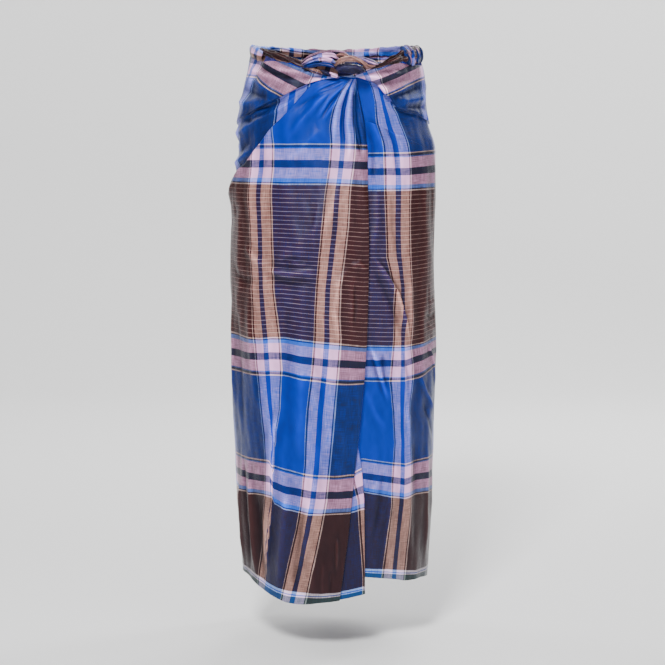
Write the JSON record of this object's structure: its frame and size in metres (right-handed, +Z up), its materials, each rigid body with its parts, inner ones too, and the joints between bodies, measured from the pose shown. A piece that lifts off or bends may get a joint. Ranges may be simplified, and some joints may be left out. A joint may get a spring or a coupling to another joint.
{
  "type": "worn longyi sarong",
  "caption": "Worn ankle-length tube of checked cotton cloth, wrapped round a waist, folded over at the front and tied there with a twisted knot.",
  "frame": {"origin": "centre of the waist opening, 8 mm below the top of the waist roll, where a wearer's waist holds the cloth", "axes": "+X along the width, toward the viewer's right as the front is seen; the knot and the front folds face -Y; +Z up"},
  "size_m": [0.3524, 0.2954, 0.9267],
  "materials": {
    "back_panel": "plain-woven yarn-dyed cotton with a soft sheen",
    "over_panel": "plain-woven yarn-dyed cotton with a soft sheen",
    "inner_pleat": "plain-woven yarn-dyed cotton with a soft sheen",
    "under_panel": "plain-woven yarn-dyed cotton with a soft sheen",
    "hip_wrap_left": "plain-woven yarn-dyed cotton with a soft sheen",
    "waist_band_left": "plain-woven yarn-dyed cotton with a soft sheen",
    "waist_band_right": "plain-woven yarn-dyed cotton with a soft sheen",
    "waist_roll_left": "plain-woven yarn-dyed cotton with a soft sheen",
    "waist_strand_left": "plain-woven yarn-dyed cotton with a soft sheen",
    "waist_strand_right": "plain-woven yarn-dyed cotton with a soft sheen",
    "waist_bunch_right": "plain-woven yarn-dyed cotton with a soft sheen",
    "waist_roll_back": "plain-woven yarn-dyed cotton with a soft sheen",
    "knot_roll": "plain-woven yarn-dyed cotton with a soft sheen",
    "knot_strand": "plain-woven yarn-dyed cotton with a soft sheen",
    "knot_loop": "plain-woven yarn-dyed cotton with a soft sheen",
    "knot_tuck_cream": "plain-woven yarn-dyed cotton with a soft sheen",
    "knot_tuck_indigo": "plain-woven yarn-dyed cotton with a soft sheen",
    "knot_tuck_pale": "plain-woven yarn-dyed cotton with a soft sheen"
  },
  "bodies": {
    "root": {"back_panel": "back_panel", "over_panel": "over_panel", "inner_pleat": "inner_pleat", "under_panel": "under_panel", "hip_wrap_left": "hip_wrap_left", "waist_band_left": "waist_band_left", "waist_band_right": "waist_band_right", "waist_roll_left": "waist_roll_left", "waist_strand_left": "waist_strand_left", "waist_strand_right": "waist_strand_right", "waist_bunch_right": "waist_bunch_right", "waist_roll_back": "waist_roll_back", "knot_roll": "knot_roll", "knot_strand": "knot_strand", "knot_loop": "knot_loop", "knot_tuck_cream": "knot_tuck_cream", "knot_tuck_indigo": "knot_tuck_indigo", "knot_tuck_pale": "knot_tuck_pale"}
  },
  "joints": []
}
